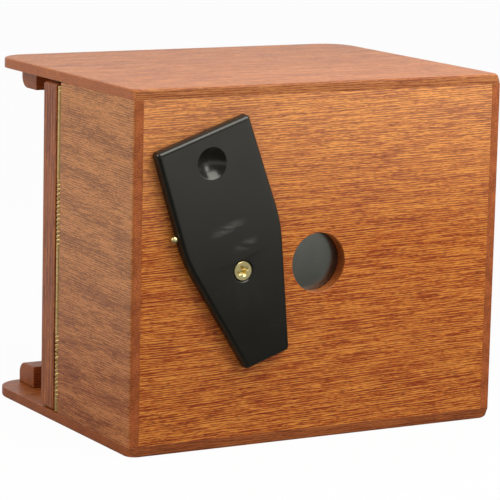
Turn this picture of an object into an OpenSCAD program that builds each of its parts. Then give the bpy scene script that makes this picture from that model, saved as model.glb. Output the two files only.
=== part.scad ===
// Large-format pinhole camera in hardwood, for one 4x5-inch sheet-film holder.
// Millimetres. +Z is up, the front faces -Y, and the origin is the middle of the underside.

/* [Case] */
// Outside width of the case
case_w = 155; // [152:0.1:158]
// Outside height of the case
case_h = 132.5; // [131:0.1:135]
// Thickness of the case boards
board_t = 3.8; // [3.6:0.1:4.2]
// Depth of the box, from its front face to the rim beside the door
box_d = 59; // [58:0.1:62]
// Depth of the top and bottom boards
board_d = 117.5; // [115:0.1:122]
// Plan radius of the boards at their front corners
front_corner_r = 1; // [1:0.1:2]
// Plan radius of the boards at their rear corners
rear_corner_r = 12; // [8:0.5:14]
// Size of the eased arris round each board
arris = 0.8; // [0.4:0.1:0.9]
// Thickness of the front panel
panel_t = 5; // [4.5:0.1:6]
// Side of the square posts in the box corners
post_w = 8; // [6:0.5:10]

/* [Rear battens] */
// Height of each batten
batten_h = 8.4; // [6.5:0.1:9]
// Depth of each batten
batten_d = 13; // [11:0.5:14]
// How far each batten stops short of the case's sides
batten_inset = 10; // [6:0.5:14]
// Distance from the batten's back to the boards' rear edge
batten_setback = 3.7; // [2:0.1:6]
// Radius of the batten's outer rear edge
batten_r = 4.5; // [2:0.5:5.5]

/* [Door and hinge] */
// Thickness of the door
door_t = 11; // [9:0.5:13]
// Gap over the door
door_gap_top = 1.2; // [0.8:0.1:2]
// Gap under the door
door_gap_bottom = 0.4; // [0.3:0.1:0.6]
// Radius of the hinge barrel
barrel_r = 1.55; // [1.4:0.05:1.8]
// Gap from the barrel to the wood on either side
barrel_gap = 0.25; // [0.2:0.05:0.4]
// Thickness of the hinge leaves
leaf_t = 0.8; // [0.6:0.1:1]
// Depth of the hinge leaves in their saw kerfs
leaf_d = 5; // [4:0.5:6]
// Number of knuckles along the hinge
knuckles = 38; // [20:2:44]
// Gap between two knuckles
knuckle_gap = 0.12; // [0.1:0.01:0.2]
// Radius of the hinge pin
hinge_pin_r = 0.75; // [0.6:0.05:0.8]
// Radial clearance between hinge pin and knuckles
hinge_fit = 0.05; // [0.02:0.01:0.08]

/* [Film side] */
// Thickness of the film frame
frame_t = 5.5; // [4:0.5:6]
// Width of the film gate
gate_w = 121; // [119:0.5:122]
// Height of the film gate
gate_h = 96; // [94:0.5:97]
// Thickness of the felt round the gate
felt_t = 0.8; // [0.5:0.1:1]
// Room for the film holder between felt and door
holder_room = 12.7; // [12.4:0.1:13]
// Distance from the holder's closed end to the middle of its locking rib
rib_from_end = 142.6; // [141:0.1:143]
// Width of the groove for the holder's locking rib
rib_groove_w = 2.6; // [2.2:0.1:3]
// Depth of that groove
rib_groove_d = 1.6; // [1.2:0.1:2]
// Thickness of the runners above and below the holder
runner_t = 1.6; // [1.4:0.1:1.8]

/* [Pinhole and shutter] */
// Height of the opening's middle over the underside
aim_z = 65.9; // [64:0.1:68]
// Place of the opening's middle across the case
aim_x = -0.5; // [-2:0.1:2]
// Radius of the opening in the front panel
bore_r = 11.1; // [9:0.1:12]
// Diameter of the pinhole
pinhole_dia = 0.34; // [0.3:0.02:0.4]
// Thickness of the shutter blade
blade_t = 4; // [4:0.1:5]
// Thickness of the washer under the blade
washer_t = 0.4; // [0.3:0.1:0.6]
// Half width of the blade at its wide end
blade_half_w = 19.7; // [18.5:0.1:20]
// Half width of the blade at its knee, where it is widest
blade_half_k = 20.6; // [20:0.1:21.5]
// Half width of the blade at its narrow end
blade_half_n = 9.4; // [9:0.1:10.5]
// From the pivot to the blade's wide end
blade_long = 53.4; // [50:0.1:55]
// From the pivot to the blade's narrow end
blade_short = 35.6; // [32:0.1:36]
// Where the blade starts to taper, towards the wide end from the pivot
taper_start = 11; // [8:0.5:14]
// From the opening's middle to the pivot
pivot_offset = 34.1; // [34:0.1:36]
// From the pivot to the finger dimple
dimple_pos = 42; // [40:0.5:43]
// Radius of the finger dimple's mouth
dimple_r = 5.7; // [5:0.1:6.5]
// Depth of the finger dimple
dimple_d = 2.4; // [1.5:0.1:2.6]
// Radius of the pivot screw's head
pivot_head_r = 3.5; // [3.4:0.05:3.6]

/* [Springs] */
// Thickness of the leaf springs
spring_t = 0.5; // [0.4:0.05:0.6]
// Width of the leaf springs
spring_w = 5.6; // [5:0.1:5.8]
// Angle through which each spring bends
spring_bend = 40; // [36:1:44]
// Radius of each spring's rolled tip
spring_tip_r = 4; // [3:0.5:5]

/* [Tripod socket] */
// Wall radius of the 1/4-inch, 20-turn thread
thread_r = 2.58; // [2.5:0.01:2.65]
// Length of the thread
thread_l = 12.7; // [10:0.1:13]
// Distance from the front face to the socket
socket_d = 28; // [26:0.5:30]

/* [Hidden] */
$fn = 48;
hull_fn = 32;

// Room left between parts that touch, and at the ends of parts that slide
touch = 0.02;
end_gap = 0.1;

// Depths are counted from the front face of the case, towards the back
blade_stack = blade_t + washer_t;
front_y = -(board_d + blade_stack) / 2 + blade_stack;
inner_w = case_w - 2 * board_t;
inner_h = case_h - 2 * board_t;
mid_z = case_h / 2;
hinge_d = box_d + barrel_gap + barrel_r;
kerf_in_wall = 1.56;
hinge_x = -case_w / 2 + kerf_in_wall;
door_d = hinge_d + barrel_r + barrel_gap;
holder_d = door_d - holder_room;
frame_d = holder_d - felt_t - frame_t;
short_wall_d = frame_d + frame_t;
batten_front_d = board_d - batten_setback - batten_d;
door_z0 = board_t + door_gap_bottom;
door_h = inner_h - door_gap_top - door_gap_bottom;
hinge_z0 = door_z0 + end_gap;
hinge_h = door_h - 5 * end_gap;
knuckle_pitch = hinge_h / knuckles;
knuckle_bore_r = hinge_pin_r + hinge_fit;
runner_end_d = door_d - end_gap;
rib_x = -inner_w / 2 + rib_from_end;
pivot_x = aim_x - pivot_offset;

// Angle from closed to open, and the blade's turn past upright when it is open
open_angle = 109;
open_tilt = open_angle - 90;

// The stop pin stands where it meets the blade's long side when it is open and the taper when closed
pin_reach = 30.32;
pin_angle = 155;
pin_x = pivot_x + pin_reach * cos(pin_angle);
pin_z = aim_z + pin_reach * sin(pin_angle);
pin_head_r = 1.3;
pin_head_h = 1;
pin_shank_r = 0.65;
pin_neck = 2.6;
pin_in_wood = 4;

// Plate and retainer behind the opening
plate_w = 30;
plate_t = 0.3;
plate_fit = 0.1;
retainer_w = 42;
retainer_t = 2;
retainer_hole_r = 9;
retainer_screw_x = 17.5;
small_screw_r = 1.1;
small_screw_d0 = 1.8;
blind_room = 0.2;
small_head_r = 2;
small_head_h = 1.2;

// Pivot screw, block and washer
block_w = 18;
block_d = 8;
screw_below_face = 0.25;
pivot_r = 1.75;
screw_l = 16;
screw_tip_l = 3;
screw_tip_r = 0.2;
head_rim = 0.25;
half_cone = 41;
recess_turn = 20;
recess_mouth = [3.8, 0.9, 0.9];
recess_floor = [2.4, 0.8, 1.8];
blade_play = 0.08;
blade_bore_r = pivot_r + blade_play;
countersink_r = 4.2;
washer_r = 6;
washer_play = 0.1;

// Blade's round corners, its knee and its eased front edge
blade_tip_r = 1.6;
blade_knee_r = 50;
blade_ease = 1.8;

// Film side
felt_margin = 1.5;
felt_to_groove = 1;
door_edge_r = 1.2;
door_arris = 0.84;

// Tripod socket
insert_r = 4.5;
flange_r = 6.5;
flange_t = 1.2;
insert_z0 = 0.3;
tripod_block_w = 32;
tripod_block_d = 28;
tripod_block_h = 11;

// Springs: a flat foot on the batten, an arc towards the door, and a rolled tip
spring_foot_x0 = -42;
spring_foot_x1 = -18;
spring_screw_x = [-37, -24];
spring_gap = 0.05;
spring_drop = batten_front_d - door_d - door_t - spring_t - spring_gap;
spring_r = spring_drop / (1 - cos(spring_bend)) - spring_tip_r;
spring_screw_r = 1.2;
spring_head_r = 2.3;
spring_head_h = 1.6;
spring_screw_l = 9;
spring_curl = 70;

// Turns a depth behind the front face into a place along Y
function at_depth(d) = front_y + d;

// A box between two x, two depths and two heights
module block(x0, x1, d0, d1, z0, z1) {
    translate([x0, at_depth(d0), z0])
        cube([x1 - x0, d1 - d0, z1 - z0]);
}

// A round bar along Y, from one depth to another
module bar_y(x, z, r, d0, d1) {
    translate([x, at_depth(d0), z])
        rotate([-90, 0, 0])
            cylinder(r = r, h = d1 - d0);
}

// One corner of a board: a disc with its two arrises eased
module eased_disc(r, t, e) {
    for (step = [[0, e], [0.3 * e, 0.3 * e], [e, 0]]) {
        translate([0, 0, step[0]])
            cylinder(r = r - step[1], h = t - 2 * step[0], $fn = hull_fn);
    }
}

// Top or bottom board, with small front corners and larger rear ones
module case_board() {
    hull() {
        for (side = [-1, 1]) {
            translate([side * (case_w / 2 - front_corner_r), at_depth(front_corner_r), 0])
                eased_disc(front_corner_r, board_t, arris);
            translate([side * (case_w / 2 - rear_corner_r), at_depth(board_d - rear_corner_r), 0])
                eased_disc(rear_corner_r, board_t, arris);
        }
    }
}

// Side wall seen from above: the outer front corner is round, as the boards' corners are
module wall_plan(depth) {
    difference() {
        square([board_t, depth]);
        square([front_corner_r, front_corner_r]);
    }
    intersection() {
        translate([front_corner_r, front_corner_r])
            circle(r = front_corner_r);
        square([front_corner_r, front_corner_r]);
    }
}

// Batten in section, with its face on the board at the bottom and its outer rear edge round
module batten_section() {
    difference() {
        square([batten_d, batten_h]);
        translate([batten_d - batten_r, batten_h - batten_r])
            square(batten_r + 1);
    }
    intersection() {
        translate([batten_d - batten_r, batten_h - batten_r])
            circle(r = batten_r);
        square([batten_d, batten_h]);
    }
}

// Batten along X at its depth, standing on a board whose upper face is at height 0
module batten() {
    length = case_w - 2 * batten_inset;
    translate([-length / 2, at_depth(batten_front_d), 0])
        rotate([90, 0, 90])
            linear_extrude(height = length)
                batten_section();
}

// Holes for the spring's screws, through the batten's front face
module pilot_holes() {
    for (x = spring_screw_x) {
        bar_y(x, batten_h / 2, spring_screw_r + touch, batten_front_d - 1, batten_front_d + spring_screw_l);
    }
}

module front_panel() color("#c07a3c") {
    difference() {
        block(-inner_w / 2, inner_w / 2, 0, panel_t, board_t, case_h - board_t);
        bar_y(aim_x, aim_z, bore_r, -1, panel_t + 1);
        bar_y(pivot_x, aim_z, pivot_r + touch, -1, panel_t + 1);
        bar_y(pin_x, pin_z, pin_shank_r + touch, -1, pin_in_wood + blind_room);
        for (x = [-1, 1], z = [-1, 1]) {
            bar_y(aim_x + x * retainer_screw_x, aim_z + z * retainer_screw_x, small_screw_r + touch,
                  small_screw_d0 - blind_room, panel_t + 1);
        }
    }
}

module left_wall() color("#a8683f") {
    difference() {
        translate([-case_w / 2, front_y, board_t])
            linear_extrude(height = inner_h)
                wall_plan(box_d);
        block(hinge_x - leaf_t / 2, hinge_x + leaf_t / 2, box_d - leaf_d, box_d + 1, board_t - 1, case_h);
    }
}

module right_wall() color("#a8683f") {
    translate([case_w / 2, front_y, board_t])
        mirror([1, 0, 0])
            linear_extrude(height = inner_h)
                wall_plan(short_wall_d);
}

module top_board() color("#cf8f68") {
    translate([0, 0, case_h - board_t])
        case_board();
}

module bottom_board() color("#b8703f") {
    difference() {
        case_board();
        translate([0, at_depth(socket_d), -1])
            cylinder(r = insert_r + touch, h = board_t + 2);
        translate([0, at_depth(socket_d), -1])
            cylinder(r = flange_r + touch, h = 1 + insert_z0 + flange_t);
    }
}

module lower_batten() color("#b8703f") {
    translate([0, 0, board_t]) {
        difference() {
            batten();
            pilot_holes();
        }
    }
}

module upper_batten() color("#b8703f") {
    translate([0, 0, case_h - board_t]) {
        mirror([0, 0, 1]) {
            difference() {
                batten();
                pilot_holes();
            }
        }
    }
}

// Post in one corner of the box: side is -1 left or 1 right, and level 0 below or 1 above
module corner_post(side, level) color("#9c6238") {
    x0 = side < 0 ? -inner_w / 2 : inner_w / 2 - post_w;
    z0 = level == 0 ? board_t : case_h - board_t - post_w;
    block(x0, x0 + post_w, panel_t, frame_d, z0, z0 + post_w);
}

module film_frame() color("#2b2a28") {
    difference() {
        block(-inner_w / 2, inner_w / 2, frame_d, frame_d + frame_t, board_t, case_h - board_t);
        block(aim_x - gate_w / 2, aim_x + gate_w / 2, frame_d - 1, frame_d + frame_t + 1,
              mid_z - gate_h / 2, mid_z + gate_h / 2);
        block(rib_x - rib_groove_w / 2, rib_x + rib_groove_w / 2,
              frame_d + frame_t - rib_groove_d, frame_d + frame_t + 1, 0, case_h);
    }
}

module light_seal() color("#1b1b1b") {
    difference() {
        block(-inner_w / 2, rib_x - rib_groove_w / 2 - felt_to_groove, short_wall_d, holder_d,
              board_t + runner_t, case_h - board_t - runner_t);
        block(aim_x - gate_w / 2 - felt_margin, aim_x + gate_w / 2 + felt_margin,
              short_wall_d - 1, holder_d + 1,
              mid_z - gate_h / 2 - felt_margin, mid_z + gate_h / 2 + felt_margin);
    }
}

module lower_runner() color("#30261e") {
    block(-inner_w / 2, inner_w / 2, short_wall_d, runner_end_d, board_t, board_t + runner_t);
}

module upper_runner() color("#30261e") {
    block(-inner_w / 2, inner_w / 2, short_wall_d, runner_end_d,
          case_h - board_t - runner_t, case_h - board_t);
}

module back_door() color("#8b5b44") {
    difference() {
        hull() {
            for (x = [-1, 1], z = [0, 1]) {
                translate([x * (case_w / 2 - door_edge_r), at_depth(door_d),
                           door_z0 + door_edge_r + z * (door_h - 2 * door_edge_r)])
                    rotate([-90, 0, 0])
                        eased_disc(door_edge_r, door_t, door_arris);
            }
        }
        block(hinge_x - leaf_t / 2, hinge_x + leaf_t / 2, door_d - 1, door_d + leaf_d, 0, case_h);
    }
}

// One side of the hinge: a strip in its kerf, and every second knuckle from the given one
module hinge_leaf(first, strip_d0, strip_d1, tab_d0, tab_d1) {
    difference() {
        union() {
            block(hinge_x - leaf_t / 2, hinge_x + leaf_t / 2, strip_d0, strip_d1,
                  hinge_z0, hinge_z0 + hinge_h);
            for (i = [first : 2 : knuckles - 1]) {
                z0 = hinge_z0 + i * knuckle_pitch + knuckle_gap / 2;
                z1 = z0 + knuckle_pitch - knuckle_gap;
                block(hinge_x - leaf_t / 2, hinge_x + leaf_t / 2, tab_d0, tab_d1, z0, z1);
                translate([hinge_x, at_depth(hinge_d), z0])
                    cylinder(r = barrel_r, h = z1 - z0);
            }
        }
        translate([hinge_x, at_depth(hinge_d), hinge_z0 - 1])
            cylinder(r = knuckle_bore_r, h = hinge_h + 2);
    }
}

module hinge_leaf_box() color("#b9a364") {
    hinge_leaf(0, box_d - leaf_d, box_d, box_d - 1, hinge_d);
}

module hinge_leaf_door() color("#b9a364") {
    hinge_leaf(1, door_d, door_d + leaf_d, hinge_d, door_d + 1);
}

module hinge_pin() color("#a88f50") {
    translate([hinge_x, at_depth(hinge_d), hinge_z0])
        cylinder(r = hinge_pin_r, h = hinge_h);
}

// Square plate behind the opening, between two depths
module square_plate(half, d0, d1) {
    block(aim_x - half, aim_x + half, d0, d1, aim_z - half, aim_z + half);
}

module pinhole_plate() color("#4c4c46") {
    difference() {
        square_plate(plate_w / 2, panel_t, panel_t + plate_t);
        bar_y(aim_x, aim_z, pinhole_dia / 2, panel_t - 1, panel_t + plate_t + 1);
    }
}

module pinhole_retainer() color("#33322f") {
    difference() {
        square_plate(retainer_w / 2, panel_t, panel_t + retainer_t);
        square_plate(plate_w / 2 + plate_fit, panel_t - 1, panel_t + plate_t);
        bar_y(aim_x, aim_z, retainer_hole_r, panel_t - 1, panel_t + retainer_t + 1);
        for (x = [-1, 1], z = [-1, 1]) {
            bar_y(aim_x + x * retainer_screw_x, aim_z + z * retainer_screw_x, small_screw_r + touch,
                  panel_t - 1, panel_t + retainer_t + 1);
        }
    }
}

module retainer_screws() color("#b9a364") {
    for (x = [-1, 1], z = [-1, 1]) {
        bar_y(aim_x + x * retainer_screw_x, aim_z + z * retainer_screw_x, small_screw_r,
              small_screw_d0, panel_t + retainer_t);
        bar_y(aim_x + x * retainer_screw_x, aim_z + z * retainer_screw_x, small_head_r,
              panel_t + retainer_t, panel_t + retainer_t + small_head_h);
    }
}

module pivot_block() color("#9c6238") {
    difference() {
        block(pivot_x - block_w / 2, pivot_x + block_w / 2, panel_t, panel_t + block_d,
              aim_z - block_w / 2, aim_z + block_w / 2);
        bar_y(pivot_x, aim_z, pivot_r + touch, panel_t - 1, panel_t + block_d - 1);
    }
}

// Outline points of a round corner with radius r, between two directions of its centre
function round_corner(centre, r, a0, a1, n) =
    [for (i = [0 : n]) centre + r * [cos(a0 + (a1 - a0) * i / n), sin(a0 + (a1 - a0) * i / n)]];

// Centre of a corner's rounding with radius r: its sides meet at v and face the two directions
function centre_at(v, a0, a1, r) =
    v - r / (1 + cos(a1 - a0)) * [cos(a0) + cos(a1), sin(a0) + sin(a1)];

// Half of the blade's outline, pivot at the origin and the wide end up, shrunk by s on each side
function blade_side(s) =
    let (
        c = max(blade_tip_r, s + 0.05),
        taper = atan((blade_half_k - blade_half_n) / (taper_start + blade_short)),
        lean = atan((blade_half_k - blade_half_w) / (blade_long - taper_start))
    )
    concat(
        round_corner(centre_at([blade_half_n, -blade_short], -90, -taper, c), c - s, -90, -taper, 5),
        round_corner(centre_at([blade_half_k, taper_start], -taper, lean, blade_knee_r),
                     blade_knee_r - s, -taper, lean, 8),
        round_corner(centre_at([blade_half_w, blade_long], lean, 90, c), c - s, lean, 90, 5)
    );

module blade_outline(s) {
    half = blade_side(s);
    other = [for (i = [len(half) - 1 : -1 : 0]) [-half[i][0], half[i][1]]];
    polygon(concat(half, other));
}

// Blade lying flat with its underside at height 0, pivot at the origin, the front face eased
module blade_flat() {
    linear_extrude(height = blade_t - blade_ease)
        blade_outline(0);
    hull() {
        for (step = [[0, 0], [0.38, 0.08], [0.71, 0.29], [0.92, 0.62], [1, 1]]) {
            translate([0, 0, blade_t - blade_ease - touch + step[0] * blade_ease])
                linear_extrude(height = touch)
                    blade_outline(step[1] * blade_ease);
        }
    }
}

module shutter_blade() color("#35342f") {
    dimple_ball = (dimple_r * dimple_r + dimple_d * dimple_d) / (2 * dimple_d);
    translate([pivot_x, front_y - washer_t, aim_z]) {
        rotate([0, -open_tilt, 0]) {
            rotate([90, 0, 0]) {
                difference() {
                    blade_flat();
                    translate([0, 0, -1])
                        cylinder(r = blade_bore_r, h = blade_t + 2);
                    translate([0, 0, blade_t - (countersink_r - blade_bore_r) / tan(half_cone)])
                        cylinder(r1 = blade_bore_r, r2 = countersink_r + tan(half_cone),
                                 h = (countersink_r - blade_bore_r) / tan(half_cone) + 1);
                    translate([0, dimple_pos, blade_t - dimple_d + dimple_ball])
                        sphere(r = dimple_ball, $fn = 64);
                }
            }
        }
    }
}

// Countersunk wood screw, its head up at height 0 and its tip down, with a cross recess
module countersunk_screw() {
    cone_l = (pivot_head_r - pivot_r) / tan(half_cone);
    difference() {
        rotate_extrude() {
            polygon([
                [0, 0],
                [pivot_head_r, 0],
                [pivot_head_r, -head_rim],
                [pivot_r, -head_rim - cone_l],
                [pivot_r, -screw_l + screw_tip_l],
                [screw_tip_r, -screw_l],
                [0, -screw_l]
            ]);
        }
        for (turn = [0, 90], recess = [recess_mouth, recess_floor]) {
            rotate([0, 0, turn + recess_turn]) {
                translate([-recess[0] / 2, -recess[1] / 2, -recess[2]])
                    cube([recess[0], recess[1], recess[2] + 1]);
            }
        }
    }
}

module pivot_screw() color("#c9b06a") {
    translate([pivot_x, front_y - blade_stack + screw_below_face, aim_z])
        rotate([90, 0, 0])
            countersunk_screw();
}

module pivot_washer() color("#d8d4c8") {
    difference() {
        bar_y(pivot_x, aim_z, washer_r, -washer_t, 0);
        bar_y(pivot_x, aim_z, pivot_r + washer_play, -washer_t - 1, 1);
    }
}

module stop_pin() color("#c9b06a") {
    ball = (pin_head_r * pin_head_r + pin_head_h * pin_head_h) / (2 * pin_head_h);
    translate([pin_x, at_depth(-pin_neck), pin_z]) {
        rotate([90, 0, 0]) {
            translate([0, 0, -pin_neck - pin_in_wood])
                cylinder(r = pin_shank_r, h = pin_neck + pin_in_wood);
            intersection() {
                translate([0, 0, pin_head_h - ball])
                    sphere(r = ball);
                cylinder(r = pin_head_r + 1, h = pin_head_h + 1);
            }
        }
    }
}

// Middle line of a spring as [x, depth]: foot, arc towards the door, rolled tip
function spring_line(off) =
    let (
        d_foot = batten_front_d - spring_t / 2,
        tip_x = spring_foot_x1 + (spring_r + spring_tip_r) * sin(spring_bend),
        tip_d = d_foot - spring_drop + spring_tip_r,
        arc_n = 16,
        tip_n = 8
    )
    concat(
        [[spring_foot_x0, d_foot + off]],
        [for (i = [0 : arc_n])
            let (a = spring_bend * i / arc_n)
            [spring_foot_x1 + (spring_r + off) * sin(a), d_foot - spring_r + (spring_r + off) * cos(a)]],
        [for (i = [1 : tip_n])
            let (a = -spring_bend + (spring_bend + spring_curl) * i / tip_n)
            [tip_x + (spring_tip_r - off) * sin(a), tip_d - (spring_tip_r - off) * cos(a)]]
    );

// Leaf spring lying on its edge at height 0
module leaf_spring() {
    outer = spring_line(spring_t / 2);
    inner = spring_line(-spring_t / 2);
    difference() {
        translate([0, front_y, 0])
            linear_extrude(height = spring_w)
                polygon(concat(outer, [for (i = [len(inner) - 1 : -1 : 0]) inner[i]]));
        for (x = spring_screw_x) {
            bar_y(x, spring_w / 2, spring_screw_r + touch, batten_front_d - 2, batten_front_d + 1);
        }
    }
}

module lower_spring() color("#b58a4a") {
    translate([0, 0, board_t + (batten_h - spring_w) / 2])
        leaf_spring();
}

module upper_spring() color("#b58a4a") {
    translate([0, 0, case_h - board_t - (batten_h + spring_w) / 2])
        leaf_spring();
}

module spring_screws() color("#b9a364") {
    for (x = spring_screw_x, z = [board_t + batten_h / 2, case_h - board_t - batten_h / 2]) {
        bar_y(x, z, spring_screw_r, batten_front_d - spring_t, batten_front_d + spring_screw_l - 1);
        bar_y(x, z, spring_head_r, batten_front_d - spring_t - spring_head_h, batten_front_d - spring_t);
    }
}

module tripod_block() color("#9c6238") {
    difference() {
        block(-tripod_block_w / 2, tripod_block_w / 2, socket_d - tripod_block_d / 2,
              socket_d + tripod_block_d / 2, board_t, board_t + tripod_block_h);
        translate([0, at_depth(socket_d), board_t - 1])
            cylinder(r = insert_r + touch, h = 1 + insert_z0 + thread_l - board_t + touch);
    }
}

module tripod_insert() color("#b9a364") {
    translate([0, at_depth(socket_d), insert_z0]) {
        difference() {
            union() {
                cylinder(r = insert_r, h = thread_l);
                cylinder(r = flange_r, h = flange_t);
            }
            translate([0, 0, -1])
                cylinder(r = thread_r, h = thread_l + 2);
        }
    }
}

front_panel();
left_wall();
right_wall();
top_board();
bottom_board();
upper_batten();
lower_batten();
corner_post(-1, 1);  // corner_post_top_left
corner_post(1, 1);  // corner_post_top_right
corner_post(-1, 0);  // corner_post_bottom_left
corner_post(1, 0);  // corner_post_bottom_right
film_frame();
light_seal();
lower_runner();
upper_runner();
back_door();
hinge_leaf_box();
hinge_leaf_door();
hinge_pin();
pinhole_plate();
pinhole_retainer();
retainer_screws();
pivot_block();
shutter_blade();
pivot_screw();
pivot_washer();
stop_pin();
upper_spring();
lower_spring();
spring_screws();
tripod_block();
tripod_insert();
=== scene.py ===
import math

import bpy
from mathutils import Matrix, Vector
from mathutils.geometry import tessellate_polygon


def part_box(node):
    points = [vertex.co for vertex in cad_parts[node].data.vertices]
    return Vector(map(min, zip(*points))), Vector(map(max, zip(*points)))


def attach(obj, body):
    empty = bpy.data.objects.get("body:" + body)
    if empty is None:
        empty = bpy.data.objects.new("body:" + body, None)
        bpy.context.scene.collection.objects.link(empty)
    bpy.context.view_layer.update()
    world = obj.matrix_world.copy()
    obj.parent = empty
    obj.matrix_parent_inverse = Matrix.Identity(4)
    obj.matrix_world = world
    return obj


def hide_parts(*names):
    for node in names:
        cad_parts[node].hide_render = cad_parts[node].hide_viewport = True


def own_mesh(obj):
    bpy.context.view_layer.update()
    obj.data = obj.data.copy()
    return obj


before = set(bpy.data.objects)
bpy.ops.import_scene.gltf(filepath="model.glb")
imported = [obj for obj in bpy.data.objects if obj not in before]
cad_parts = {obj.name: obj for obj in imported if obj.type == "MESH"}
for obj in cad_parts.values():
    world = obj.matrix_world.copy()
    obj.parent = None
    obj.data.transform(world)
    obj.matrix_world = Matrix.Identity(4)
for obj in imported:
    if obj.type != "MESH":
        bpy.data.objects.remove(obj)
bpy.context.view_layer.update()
MM = 0.001

# Sizes in millimetres, angles in degrees and counts that the frame's boxes don't give
FRONT_CORNER_R = 1.0
WORN_CORNER_R = 4.5
REAR_CORNER_R = 12.0
ARRIS = 0.8
JOINT_EASE = 0.14
BORE_R = 11.1
PIVOT_BORE_R, PIN_BORE_R = 1.77, 0.67
BATTEN_R = 4.5
DOOR_EDGE_R = 1.2
OPEN_TILT = 19.0
BLADE_HALF_WIDE, BLADE_HALF_KNEE, BLADE_HALF_NARROW = 19.7, 20.6, 9.4
BLADE_LONG, BLADE_SHORT = 53.4, 35.6
BLADE_TAPER_START = 11.0
BLADE_TIP_R, BLADE_KNEE_R, BLADE_EASE = 1.6, 50.0, 1.8
BLADE_BORE_R = 1.83
DIMPLE_POS, DIMPLE_R, DIMPLE_DEPTH, DIMPLE_LIP_R = 42.0, 5.7, 2.4, 0.45
COUNTERSINK_R = 4.2
HEAD_R = 3.5
HEAD_HALF_ANGLE = 41
KNUCKLES = 38
KNUCKLE_GAP = 0.12
MARK_STEP, MARK_DEPTH = 1.59, 0.32
SHARP_STEP, SHARP_AT = 58, 80
BARREL_CLEAR, LEAF_T, LEAF_INNER, TAB_LAP = 1.8, 0.8, 0.9, 0.5
SPRING_T, SPRING_BEND, SPRING_TIP_R, SPRING_CURL = 0.5, 40, 4.0, 70
SPRING_FOOT_END = -18.0
INSERT_R, FLANGE_R, FLANGE_T = 4.5, 6.5, 1.2
THREAD_R, THREAD_PITCH, THREAD_DEPTH = 2.58, 1.27, 0.55
FIT_GAP = 0.02


def box_mm(node):
    """Lowest and highest corner of a node, in millimetres."""
    return [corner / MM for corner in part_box(node)]


def middle(node):
    """Middle of a node's box, in millimetres."""
    low, high = box_mm(node)
    return (low + high) / 2


def linear(code):
    """A hex colour as linear red, green, blue and alpha."""
    parts = [int(code[i:i + 2], 16) / 255 for i in (1, 3, 5)]
    return tuple(c / 12.92 if c <= 0.04045 else ((c + 0.055) / 1.055) ** 2.4 for c in parts) + (1.0,)


def add_object(name, data):
    """A new object in the scene."""
    made = bpy.data.objects.new(name, data)
    bpy.context.scene.collection.objects.link(made)
    return made


def feed(tree, node, inputs):
    """Sets a node's inputs, each to a value or by a link from a socket."""
    for key, value in inputs.items():
        if isinstance(value, bpy.types.NodeSocket):
            tree.links.new(value, node.inputs[key])
        else:
            node.inputs[key].default_value = value


def put(tree, kind, settings=None, inputs=None, out=0):
    """Adds a node with its settings and inputs. Returns the output out, or the node where out is None."""
    node = tree.nodes.new(kind)
    for key, value in (settings or {}).items():
        setattr(node, key, value)
    feed(tree, node, inputs or {})
    return node if out is None else node.outputs[out]


# Outlines and meshes

def arc(centre, radius, start, end, steps):
    """Points on a round stretch, with its angles in degrees."""
    turns = [math.radians(start + (end - start) * i / steps) for i in range(steps + 1)]
    return [(centre[0] + radius * math.cos(a), centre[1] + radius * math.sin(a)) for a in turns]


def circle(centre, radius, steps=48):
    """Points round a circle, without the first one repeated."""
    return arc(centre, radius, 0, 360, steps)[:-1]


def rounded_rectangle(x0, x1, y0, y1, radii, steps=10):
    """Counter-clockwise from the corner at x0, y0; radii follow the corners in that order."""
    corners = [(x0, y0, 1, 1, 180), (x1, y0, -1, 1, 270), (x1, y1, -1, -1, 0), (x0, y1, 1, -1, 90)]
    points = []
    for (x, y, sx, sy, start), r in zip(corners, radii):
        points += arc((x + sx * r, y + sy * r), r, start, start + 90, steps if r >= 1 else 3)
    return points


def inset(outline, distance):
    """Moves each side of a counter-clockwise outline inwards by the distance."""
    points = []
    n = len(outline)
    for i in range(n):
        before, here, after = (Vector(outline[(i + k) % n]) for k in (-1, 0, 1))
        a, b = (here - before).normalized(), (after - here).normalized()
        na, nb = Vector((-a.y, a.x)), Vector((-b.y, b.x))
        points.append(tuple(here + (na + nb) * (distance / (1 + na.dot(nb)))))
    return points


def eased_rings(outline_at, thickness, low, high, steps=4):
    """Rings of a plate's rim as (outline, height), from the low face up, with a quarter-round arris at each.

    outline_at is the plate's outline, or gives it for a height.
    """
    levels = []
    for i in range(steps + 1):
        a = math.radians(90 * i / steps)
        levels.append((low * (1 - math.sin(a)), low * (1 - math.cos(a))))
    for i in range(steps + 1):
        a = math.radians(90 * i / steps)
        levels.append((high * (1 - math.cos(a)), thickness - high * (1 - math.sin(a))))
    return [(inset(outline_at(h) if callable(outline_at) else outline_at, s), h) for s, h in levels]


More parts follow.
